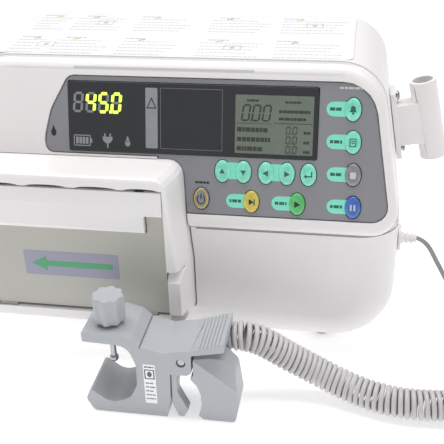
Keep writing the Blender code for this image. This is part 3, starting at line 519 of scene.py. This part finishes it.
def ring(x, y, rx, ry, width, steps):
    """A ring as a chain of small quads."""
    shapes = []
    for k in range(steps):
        a, b = 2 * math.pi * k / steps, 2 * math.pi * (k + 1) / steps
        inner = [(x + rx * math.cos(t), y + ry * math.sin(t)) for t in (a, b)]
        outer = [(x + (rx + width) * math.cos(t), y + (ry + width) * math.sin(t)) for t in (a, b)]
        shapes.append([inner[0], outer[0], outer[1], inner[1]])
    return shapes


def drop(x, y, ry, neck, steps):
    """A drop: an oval with a point on top that starts at the neck."""
    return [oval(x, y, 1.3, ry, steps), [(x - 1.1, y + neck), (x + 1.1, y + neck), (x, y + 3.6)]]


def dashes(x0, x1, y, height, seed, gap=0.5):
    """A row of dashes, which stands where the real object has a word. A fixed shuffle makes their widths uneven."""
    shapes, x, k = [], x0, seed
    shortest, spread = 0.9, 1.6
    while x < x1 - 0.5:
        k = (k * 37 + 11) % 97
        width = min(shortest + spread * (k / 97), x1 - x)
        shapes.append(bar(x + width / 2, y, width, height))
        x += width + gap
    return shapes


SEGMENTS = {"0": "abcdef", "4": "fgbc", "5": "afgcd", "8": "abcdefg"}  # the figures that the displays show


def digit(char, x, y, height, width, thick, lean):
    """A seven-segment figure with its lower left corner at x, y."""
    half = height / 2
    lines = {
        "a": ((0, height), (width, height)), "g": ((0, half), (width, half)), "d": ((0, 0), (width, 0)),
        "f": ((0, half), (0, height)), "b": ((width, half), (width, height)),
        "e": ((0, 0), (0, half)), "c": ((width, 0), (width, half)),
    }
    t = thick / 2
    gap = thick * 0.12
    tip, side = t * 0.2 + gap, t * 0.8 + gap  # how far in a segment's point lies, and its full width starts
    shapes = []
    for name in SEGMENTS[char]:
        (x0, y0), (x1, y1) = lines[name]
        length = math.hypot(x1 - x0, y1 - y0)
        ux, uy = (x1 - x0) / length, (y1 - y0) / length
        flat = [(tip, 0), (side, -t), (length - side, -t), (length - tip, 0), (length - side, t), (side, t)]
        outline = [(x0 + ux * u - uy * v, y0 + uy * u + ux * v) for u, v in flat]
        shapes.append([(x + px + lean * py, y + py) for px, py in outline])
    return shapes


def figures(text, x, y, height, width, thick, pitch, lean=0.1):
    """A row of figures; a point takes no room of its own."""
    shapes = []
    for char in text:
        if char == ".":
            shapes.append(bar(x - pitch + width + thick * 1.35, y, thick * 0.9, thick * 0.9))
        else:
            shapes += digit(char, x, y, height, width, thick, lean)
            x += pitch
    return shapes


# Flat marks


def marks(name, look, shapes, matrix, low, high, body, slot):
    """One piece made of many flat outlines, each thick from low to high over the matrix's plane."""
    bm = bmesh.new()
    for outline in shapes:
        base = [bm.verts.new((x * MM, y * MM, low * MM)) for x, y in outline]
        top = [bm.verts.new((x * MM, y * MM, high * MM)) for x, y in outline]
        for i in range(len(outline)):
            j = (i + 1) % len(outline)
            bm.faces.new((base[i], base[j], top[j], top[i]))
        bm.faces.new(top)
        bm.faces.new(list(reversed(base)))
    finished(name, bm, look, body, matrix=matrix)


def at_x(shapes):
    """Outlines in the panel's x, moved into the shared frame's."""
    return [[(x + PANEL_DX, y) for x, y in outline] for outline in shapes]


def on_panel(name, look, shapes, low=0.3, high=0.4):
    marks(name, look, at_x(shapes), PANEL, low, high, "pump", "panel_grey")


def on_lens(name, look, shapes, low=-0.05, high=0.06):
    marks(name, look, at_x(shapes), PANEL, LENS_H + low, LENS_H + high, "pump", "lens")


def on_front(name, look, shapes, face, low, high, body, slot):
    """A film on a flat face to the front, from low to high over it."""
    marks(name, look, at_x(shapes), FRONT, face + low, face + high, body, slot)


def on_key(name, look, shapes, kind="sign_"):
    """A mark printed on a key cap, drawn round the key's middle; it moves with the key."""
    x, s = KEYS[name]
    placed = [[(x + px, s + py) for px, py in outline] for outline in shapes]
    marks(kind + name, look, at_x(placed), PANEL, KEY_H - 0.03, KEY_H + 0.05, BODY_OF[name], SLOT_OF[name])


# Panel, keys and displays. Nothing here is lettering: the real object's words are plain dashes and simple signs.


def print_panel():
    """The mint bands and pills behind the keys, with the dashes and signs beside them."""
    bands, words = [], []
    for left, right in KEY_PAIRS:
        (x0, s), (x1, _) = KEYS[left], KEYS[right]
        bands.append(rounded_box(x0 - 1.5, x1 + 1.5, s - 3.6, s + 4.2, 0.8))
    for k, name in enumerate(PILLS):
        x, s = KEYS[name]
        bands.append(capsule(x - 11.8, x + 1.0, s, 6.6))
        words += dashes(x - 10.2, x - 4.8, s, 1.4, 5 + 9 * k, 0.35)
    on_panel("panel_bands", MINT_PRINT, bands, 0.28, 0.36)
    on_panel("panel_words", MARK_GREEN, words)

    x, s = KEYS["key_power"]
    signs = dashes(x - 3.0, x + 3.6, s + 7.6, 1.0, 3, 0.3) + drop(-74.6, 41.0, 1.7, 0.6, 14)
    on_panel("panel_signs", MARK_DARK, signs)
    pale = dashes(58.5, 70.5, 65.6, 1.0, 17, 0.35) + dashes(-74, -69, 66.6, 0.7, 11, 0.3)
    on_panel("panel_pale_words", MARK_PALE, pale)


def print_keys():
    """A plain sign on each key, and the ring on the power key."""
    on_key("key_up", MARK_GREEN, [[(-1.3, -0.9), (1.3, -0.9), (0, 1.4)]])
    on_key("key_down", MARK_GREEN, [[(-1.3, 0.9), (0, -1.4), (1.3, 0.9)]])
    on_key("key_left", MARK_GREEN, [[(1.1, -1.4), (1.1, 1.4), (-1.5, 0)]])
    on_key("key_right", MARK_GREEN, [[(-1.1, -1.4), (1.5, 0), (-1.1, 1.4)]])
    elbow = stroke([(1.5, 1.6), (1.5, -0.6), (-1.1, -0.6)], 0.55)
    on_key("key_enter", MARK_GREEN, elbow + [[(-0.9, -1.6), (-0.9, 0.4), (-2.0, -0.6)]])
    on_key("key_power", RING_GOLD, ring(0, 0, 2.75, 3.95, 0.62, 32), "ring_")
    open_ring = [outline for k, outline in enumerate(ring(0, -0.2, 1.5, 1.9, 0.5, 20)) if not 3 <= k <= 6]
    on_key("key_power", MARK_DARK, [bar(0, 1.2, 0.55, 2.6)] + open_ring)
    on_key("key_yellow", MARK_DARK, [[(-1.0, -1.4), (1.3, 0), (-1.0, 1.4)], bar(1.5, 0, 0.5, 2.8)])
    on_key("key_green", MARK_DARK, [[(-1.1, -1.6), (1.6, 0), (-1.1, 1.6)]])
    bell = [(-1.7, -1.0), (1.7, -1.0), (1.1, -0.3), (1.0, 1.0), (0.5, 1.7), (-0.5, 1.7), (-1.0, 1.0), (-1.1, -0.3)]
    on_key("key_bell", MARK_GREEN, [bell, oval(0, -1.6, 0.5, 0.5, 10)])
    page_lines = [bar(0, 0.7, 1.5, 0.35), bar(0, -0.2, 1.5, 0.35)]
    on_key("key_page", MARK_GREEN, box_line(-1.3, 1.3, -1.7, 1.7, 0.4) + page_lines)
    on_key("key_stop", MARK_PALE, [rounded_box(-1.3, 1.3, -1.5, 1.5, 0.3)])
    on_key("key_blue", MARK_PALE, [bar(-0.8, 0, 0.8, 2.8), bar(0.8, 0, 0.8, 2.8)])


def print_figures():
    """Four unlit figures behind the lens, and the lit ones on the last three."""
    size = (LED_S, LED_HEIGHT, LED_WIDTH)
    on_lens("led_unlit", LED_OFF, figures("8888", LED_X, *size, 1.1, LED_PITCH))
    on_lens("led_figures", LED_LIT, figures("45.0", LED_X + LED_PITCH, *size, 1.4, LED_PITCH), high=0.08)


def print_lens():
    """The row of signs under the figures, the tall bar, and the framed window beside it."""
    battery = box_line(-64.4, -56.6, 35.4, 40.2, 0.45)
    battery += [bar(x, 37.8, 1.25, 3.2) for x in (-62.9, -61.3, -59.7, -58.1)] + [bar(-56.0, 37.8, 0.8, 2.0)]
    plug = [
        [(-50.6, 39.9), (-45.6, 39.9), (-45.9, 38.2), (-47.2, 36.8), (-49.0, 36.8), (-50.3, 38.2)],
        bar(-48.1, 35.8, 0.7, 2.2), bar(-49.4, 40.6, 0.7, 1.6), bar(-46.8, 40.6, 0.7, 1.6),
    ]
    on_lens("lens_signs", LENS_SIGNS, battery + plug + drop(-38.4, 37.2, 1.5, 0.7, 16))

    on_lens("lens_bar", LENS_BAR, [rounded_box(-29.7, -24.0, 35.3, 63.2, 0.5)])
    on_lens("lens_window_edge", GLASS_GREY, box_line(-22.6, 6.2, 35.4, 63.2, 0.28))
    triangle = stroke([(-28.9, 54.0), (-24.8, 54.0), (-26.85, 58.6), (-28.9, 54.0)], 0.45)
    on_lens("lens_bar_sign", MARK_DARK, triangle, 0.0, 0.1)


def print_lcd():
    """The LCD with its border: a large figure, a ruled head, and three rows with a small figure each."""
    x0, x1 = LCD_X0, LCD_X1
    border = rounded_box(x0 - 1.1, x1 + 1.1, LCD_S0 - 1.0, LCD_S1 + 1.0, 0.8)
    on_lens("lcd_border", GLASS_DEEP, [border])
    on_lens("lcd_face", LCD_GLASS, [rounded_box(x0, x1, LCD_S0, LCD_S1, 0.4)], 0.0, 0.09)

    shapes = dashes(x0 + 5.2, x0 + 11.4, 58.9, 0.9, 5, 0.25) + dashes(x0 + 22.4, x0 + 29.6, 58.5, 0.9, 9, 0.25)
    shapes += figures("0.00", x0 + 2.9, 49.9, 6.9, 3.1, 0.8, 4.7, 0.14)
    shapes += dashes(x0 + 19.8, x1 - 1.6, 54.3, 1.3, 19, 0.25) + dashes(x0 + 19.8, x1 - 3.4, 51.0, 1.2, 23, 0.25)
    shapes += [bar(x0 + 26.4, 49.0, 17.6, 0.25), bar(x0 + 8.6, 48.6, 16.4, 0.18)]
    for k, (s, word) in enumerate(((44.3, 14.8), (39.9, 16.2), (35.6, 12.6))):
        shapes += dashes(x0 + 0.9, x0 + word, s + 1.4, 2.0, 7 + 13 * k, 0.3)
        shapes += figures("0.0", x0 + 23.2, s, 3.2, 1.7, 0.45, 3.0)
        shapes += dashes(x1 - 4.2, x1 - 1.2, s + 0.7, 1.2, 3 + 5 * k, 0.2)
    on_lens("lcd_ink", LCD_INK, shapes, 0.05, 0.13)


# Labels


def print_top():
    """The label on the housing's top: five columns of dashes and simple signs, in two rows."""
    film = rounded_box(*TOP_LABEL, 3.0, 6)
    marks("top_label", LABEL_WHITE, [film], TOP, -0.15, 0.07, "pump", "housing")
    lines, signs, greens, golds = [], [], [], []
    for c, (x0, x1) in enumerate(TOP_COLUMNS):
        for r, y1 in enumerate(TOP_ROWS):
            head = x0 + 3 * (c % 2)
            signs += dashes(head, head + 10, y1, 1.3, 3 + 7 * c + 5 * r)
            for k in range(TOP_LINES):
                end = x1 - 2.2 * ((k * 5 + c + r) % 4)  # uneven line ends
                lines += dashes(x0, end, y1 - TOP_LINE_STEP * (k + 1), 0.95, 13 + 17 * k + 5 * c + r)
            if (c + r) % 3 == 1:
                y = y1 - 10.4
                signs += box_line(x0 + 12, x0 + 20, y - 3.0, y + 3.0, 0.45) + [oval(x0 + 16, y, 1.3, 1.6, 14)]
            (greens if (c + r) % 2 else golds).append(bar(x0 + 8.5, y1 - 1.9, 3.4, 1.3, 20))
    for name, look, shapes in (
        ("top_label_lines", TOP_FAINT, lines),
        ("top_label_signs", TOP_SIGNS, signs),
        ("top_label_green", TOP_GREEN, greens),
        ("top_label_gold", TOP_GOLD, golds),
    ):
        marks(name, look, shapes, TOP, 0.05, 0.11, "pump", "housing")


def print_door():
    """The door's sticker with its arrow, which moves with the door."""
    film = rounded_box(*DOOR_LABEL, 0.6)
    arrow = [bar(-60.6, 54.2, 33.0, 3.1), [(-77.0, 58.2), (-84.6, 54.2), (-77.0, 50.2)]]
    on_front("door_sticker", STICKER, [film], DOOR_FACE, -0.1, 0.08, "door", "door_beige")
    on_front("door_arrow", ARROW, arrow, DOOR_FACE, 0.04, 0.13, "door", "door_beige")


def print_sensor():
    """The tall label on the front of the drop sensor."""
    film = rounded_box(*SENSOR_LABEL, 0.4)
    on_front("sensor_label", LABEL_WHITE, [film], SENSOR_FACE, -0.1, 0.08, "pump", "sensor_grey")
    signs = box_line(-20.7, -16.6, 21.2, 26.0, 0.5)
    signs += [oval(-18.6, 23.6, 1.1, 1.5, 12)] + dashes(-20.8, -16.5, 27.6, 0.7, 3, 0.25)
    for k in range(5):
        signs += dashes(-20.7, -16.5, 18.6 - 2.2 * k, 0.55, 9 + 5 * k, 0.3)
    on_front("sensor_label_signs", MARK_SLATE, signs, SENSOR_FACE, 0.05, 0.13, "pump", "sensor_grey")


# Shadows and lines in the moulding


def shade_slits():
    """Painted shade: dark sheets in the deep slits for the fingertips between the head's frame and the handle."""
    slits = []
    turns = np.linspace(0, math.pi, 15)
    for x, width in SLITS:
        slits.append([(x + width / 2 * math.cos(a), SLIT_BOTTOM + SLIT_RISE * math.sin(a)) for a in turns])
    # black plastic colour as painted shade, standing in for the shade deep in each slit
    marks("door_slits_painted_shade", LOOKS["black_plastic"], at_x(slits), FRONT, SLIT_BACK, DOOR_FACE, "pump", "black_plastic")


def ribbon(name, look, node, rays, tall):
    """A thin line on the CAD node's surface, as tall as given, where the rays meet it."""
    proud, deep = 0.08, 0.35  # how far it stands out of the surface and reaches into it
    mesh = NODES[node].data
    tree = BVHTree.FromPolygons([v.co.copy() for v in mesh.vertices], [list(p.vertices) for p in mesh.polygons])
    rings = []
    for origin, direction in rays:
        low, high = (tree.ray_cast((Vector(origin) + Vector((0, 0, z))) * MM, direction)[0] for z in (0, tall))
        if low is None or high is None:
            continue
        out = -direction.normalized() * MM
        rings.append([low + out * proud, high + out * proud, high - out * deep, low - out * deep])
    bm = bmesh.new()
    loops = [[bm.verts.new(p) for p in ring_points] for ring_points in rings]
    for a, b in zip(loops, loops[1:]):
        for i in range(4):
            bm.faces.new((a[i], a[(i + 1) % 4], b[(i + 1) % 4], b[i]))
    bm.faces.new(loops[0])
    bm.faces.new(loops[-1][::-1])
    finished(name, bm, look, "pump", smooth=60)


def shade_grooves():
    """Painted shade: a faint shadow line along the bezel's brow, and a dark strip of painted shadow in the groove
    over the lower cover that runs round its corner.
    """
    back = Vector((0, 1, 0))
    for name, look, x0, x1, tall in (
        ("brow_shadow_line_left", GROOVE_SHADE_FAINT, -106, -56, 0.7),
        ("brow_shadow_line", GROOVE_SHADE_SOFT, -56, 28, 1.1),
        ("brow_shadow_line_right", GROOVE_SHADE_FAINT, 28, 76, 0.7),
    ):
        count = round((x1 - x0) / LINE_STEP)
        places = [x0 + (x1 - x0) * k / count for k in range(count + 1)]
        # faint strips of painted shadow under the bezel's brow
        ribbon(name, look, "front_bezel", [((x, -RAY_REACH, BROW_Z), back) for x in places], tall)

    rays = [((x, -RAY_REACH, LOWER_GROOVE_Z), back) for x in range(1, 73, LINE_STEP)]
    for k in range(40):
        turn = math.radians(-88 + 2.2 * k)
        way = Vector((math.cos(turn), math.sin(turn), 0))
        rays.append((Vector((*LOWER_CORNER, LOWER_GROOVE_Z)) + way * RAY_REACH, -way))
    # a dark strip of painted shadow in the groove over the lower cover
    ribbon("lower_groove_shadow", GROOVE_SHADE_DARK, "lower_front_cover", rays, 0.8)


def close_head():
    """Beside the pump head the two front shells leave a slit, which the head's collar closes from inside."""
    marks("head_collar", LOOKS["housing"], [rounded_box(*COLLAR, 1.5)], SIDEWAYS, *COLLAR_X, "pump", "housing")


# The cord: a thin lead that drops from the gland and becomes the coil that ends in the sensor's neck


def smooth_route(points, spacing):
    """Evenly spaced points on a smooth curve through the given ones."""
    pieces = 40  # from one given point to the next, before they are spaced evenly
    knots = [Vector(p) for p in points]
    knots = [2 * knots[0] - knots[1]] + knots + [2 * knots[-1] - knots[-2]]
    fine = []
    for a, b, c, d in zip(knots, knots[1:], knots[2:], knots[3:]):
        for k in range(pieces):
            t = k / pieces
            bend, twist = 2 * a - 5 * b + 4 * c - d, 3 * b - a - 3 * c + d
            fine.append(0.5 * (2 * b + (c - a) * t + bend * t**2 + twist * t**3))
    fine.append(knots[-2])
    at = np.concatenate([[0.0], np.cumsum([(b - a).length for a, b in zip(fine, fine[1:])])])
    count = max(2, round(at[-1] / spacing))
    table = np.array([tuple(p) for p in fine])
    return [Vector([np.interp(w, at, table[:, k]) for k in range(3)]) for w in np.linspace(0, at[-1], count + 1)]


def ease(share):
    """0 to 1, with a soft start and end."""
    return share * share * (3 - 2 * share)


def helix_turns(axis, start, turn):
    """The coil round its axis from the point start on, and how far its last turn overshoots the sensor's side."""
    step = COIL_PITCH / COIL_STEPS
    radius = (COIL_OUTSIDE - WIRE) / 2
    points, side = [], Vector((0, 0, 1))
    for i in range(start, len(axis)):
        ahead = (axis[min(i + 1, len(axis) - 1)] - axis[i - 1]).normalized()
        side = (side - ahead * side.dot(ahead)).normalized()
        swing = radius * ease(min(1.0, (i - start) * step / OPENING_LENGTH))
        rate = 2 * math.pi / COIL_PITCH
        if swing < OPENING_SWING:
            room = max(OPENING_FLOOR, swing - OPENING_BEND * swing * swing)
            rate = OPENING_SHARE * math.sqrt(OPENING_BEND / room)
        closing = max(0.0, 1 - (len(axis) - 1 - i) * step / CLOSING_LENGTH)
        swing -= CLOSING_SWING * closing * closing
        turn += rate * step
        points.append(axis[i] + swing * (math.cos(turn) * side + math.sin(turn) * ahead.cross(side)))
    over = ahead.cross(side)
    return points, turn - math.atan2(-over.y, -side.y)


def cord_line():
    """The whole cord's centreline. The lead opens gently into the helix, whose last turn runs into the sensor's
    cord block and on through it, out of sight."""
    lead = smooth_route(LEAD_ROUTE, LEAD_SPACING)
    axis = smooth_route(LEAD_ROUTE[-6:] + COIL_ROUTE, COIL_PITCH / COIL_STEPS)
    start = next(i for i, p in enumerate(axis) if p.x > OPENING_START[0] and p.y < OPENING_START[1])
    _, excess = helix_turns(axis, start, 0.0)
    points, _ = helix_turns(axis, start, -excess)

    last = points[-1]
    down = math.copysign(1, last.z - points[-2].z)
    for k in range(1, 9):
        a = math.pi / 2 * k / 8
        points.append(last + Vector((-BLOCK_BEND * (1 - math.cos(a)), 0, down * BLOCK_BEND * math.sin(a))))
    corner = points[-1]
    for share in np.linspace(0.12, 1, 9):
        x = corner.x + (WIRE_END_X - corner.x) * share
        points.append(Vector((x, corner.y, corner.z - (corner.z - WIRE_END_Z) * ease(share))))

    joined = min(range(len(lead)), key=lambda k: (lead[k] - points[0]).length)
    return lead[:joined] + points


def make_cord():
    """The cord as one curve with a round section, which stands for the CAD's lead and coil."""
    line = cord_line()
    curve = bpy.data.curves.new("sensor_cord", "CURVE")
    curve.dimensions = "3D"
    curve.bevel_depth = WIRE / 2 * MM
    curve.bevel_resolution = 2
    curve.use_fill_caps = True
    spline = curve.splines.new("POLY")
    spline.points.add(len(line) - 1)
    for point, here in zip(spline.points, line):
        point.co = (*(here * MM), 1.0)
    spline.use_smooth = True
    curve.materials.append(LOOKS["cord"])
    made = bpy.data.objects.new("sensor_cord", curve)
    bpy.context.scene.collection.objects.link(made)
    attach(made, "pump")
    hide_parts("cord_lead", "curly_cord")
    return made


# Camera and studio


def make_camera():
    """The view from the front, a little right of the middle and from above."""
    data = bpy.data.cameras.new("view")
    data.lens = CAMERA_LENS
    data.sensor_width = 36
    data.clip_start = 0.01
    made = bpy.data.objects.new("view", data)
    down, turn, roll = (math.radians(a) for a in (CAMERA_DOWN, CAMERA_TURN, CAMERA_ROLL))
    forward = Vector((-math.sin(turn) * math.cos(down), math.cos(turn) * math.cos(down), -math.sin(down)))
    right = Vector((math.cos(turn), math.sin(turn), 0))
    up = right.cross(forward)
    across = right * math.cos(roll) + up * math.sin(roll)
    upward = up * math.cos(roll) - right * math.sin(roll)
    made.matrix_world = Matrix.Translation(Vector(CAMERA_AT) * MM) @ Matrix(
        [[a, b, -c] for a, b, c in zip(across, upward, forward)]
    ).to_4x4()
    bpy.context.scene.collection.objects.link(made)
    bpy.context.scene.camera = made


def make_light(name, where, aim, size, power):
    """A soft rectangular light."""
    data = bpy.data.lights.new(name, "AREA")
    data.shape = "RECTANGLE"
    data.size, data.size_y = size
    data.energy = power
    made = bpy.data.objects.new(name, data)
    made.location = where
    made.rotation_euler = (Vector(aim) - Vector(where)).to_track_quat("-Z", "Y").to_euler()
    bpy.context.scene.collection.objects.link(made)


def make_floor():
    bm = bmesh.new()
    bmesh.ops.create_grid(bm, x_segments=8, y_segments=8, size=FLOOR_HALF)
    mesh = bpy.data.meshes.new("studio_floor")
    bm.to_mesh(mesh)
    bm.free()
    mesh.materials.append(floor_look())
    floor = bpy.data.objects.new("studio_floor", mesh)
    floor.location.z = -FLOOR_DROP
    bpy.context.scene.collection.objects.link(floor)


def make_studio():
    make_floor()
    for name, light in LIGHTS.items():
        make_light(name, *light)
    world = bpy.data.worlds.new("studio")
    world.use_nodes = True
    sky = world.node_tree.nodes["Background"]
    sky.inputs["Color"].default_value = (1, 1, 1, 1)
    sky.inputs["Strength"].default_value = WORLD_STRENGTH
    bpy.context.scene.world = world
    bpy.context.scene.view_settings.view_transform = "Standard"


# Making

make_camera()
cord = make_cord()
finish_nodes()
print_panel()
print_keys()
print_figures()
print_lens()
print_lcd()
print_top()
print_door()
shade_slits()
shade_grooves()
close_head()
print_sensor()
make_studio()
